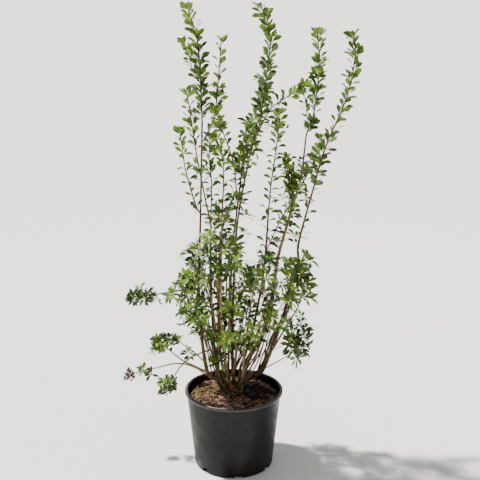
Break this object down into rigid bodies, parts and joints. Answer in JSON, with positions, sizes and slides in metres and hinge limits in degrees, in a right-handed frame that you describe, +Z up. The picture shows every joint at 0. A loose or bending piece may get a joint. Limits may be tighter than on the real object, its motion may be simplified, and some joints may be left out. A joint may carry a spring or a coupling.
{
  "type": "potted redvein enkianthus shrub",
  "caption": "Upright many-stemmed deciduous shrub with slender leafy shoots over a lower tier of leaf rosettes, growing in a round tapered nursery pot.",
  "frame": {"origin": "middle of the pot's flat underside, on the surface it stands on", "axes": "+Z up, +X to the right and +Y to the back as seen from the front of the plant"},
  "size_m": [0.8025, 0.3917, 1.5401],
  "materials": {
    "pot_plastic": "thin black blow-moulded plastic with a dull sheen",
    "bark_medium": "coarse brown bark chips with some moss",
    "stem_bark": "smooth grey-brown bark, reddish on young wood",
    "foliage": "thin fresh green leaves, yellow-green at the tips"
  },
  "bodies": {
    "root": {"bough_left_arching": "stem_bark", "bough_left_level": "stem_bark", "bough_left_low_front": "stem_bark", "bough_left_low_rear": "stem_bark", "bough_left_low_upper": "stem_bark", "bough_right_outer": "stem_bark", "foliage_centre_rear": "foliage", "foliage_front_high": "foliage", "foliage_front_low": "foliage", "foliage_left_arching": "foliage", "foliage_left_front": "foliage", "foliage_left_high": "foliage", "foliage_left_level": "foliage", "foliage_left_low_front": "foliage", "foliage_left_low_rear": "foliage", "foliage_left_low_upper": "foliage", "foliage_left_mid": "foliage", "foliage_left_rear": "foliage", "foliage_left_short": "foliage", "foliage_rear_short": "foliage", "foliage_right_front": "foliage", "foliage_right_high": "foliage", "foliage_right_inner": "foliage", "foliage_right_low": "foliage", "foliage_right_middle": "foliage", "foliage_right_outer": "foliage", "foliage_right_rear": "foliage", "pot": "pot_plastic", "potting_medium": "bark_medium", "shoot_centre_left": "foliage", "shoot_centre_rear": "foliage", "shoot_centre_top": "foliage", "shoot_crossing": "foliage", "shoot_front": "foliage", "shoot_left_leaning": "foliage", "shoot_left_outer": "foliage", "shoot_left_rear": "foliage", "shoot_left_top": "foliage", "shoot_left_twin": "foliage", "shoot_right_inner": "foliage", "shoot_right_middle_front": "foliage", "shoot_right_middle_rear": "foliage", "shoot_right_middle_top": "foliage", "shoot_right_top": "foliage", "shoot_slanting": "foliage", "shoot_slender": "foliage", "stem_centre": "stem_bark", "stem_centre_rear": "stem_bark", "stem_crossing": "stem_bark", "stem_front": "stem_bark", "stem_left": "stem_bark", "stem_left_inner": "stem_bark", "stem_left_rear": "stem_bark", "stem_right": "stem_bark", "stem_right_inner": "stem_bark", "stem_right_middle": "stem_bark", "stem_short_left": "stem_bark", "stem_short_rear": "stem_bark", "stem_slender": "stem_bark"}
  },
  "joints": []
}
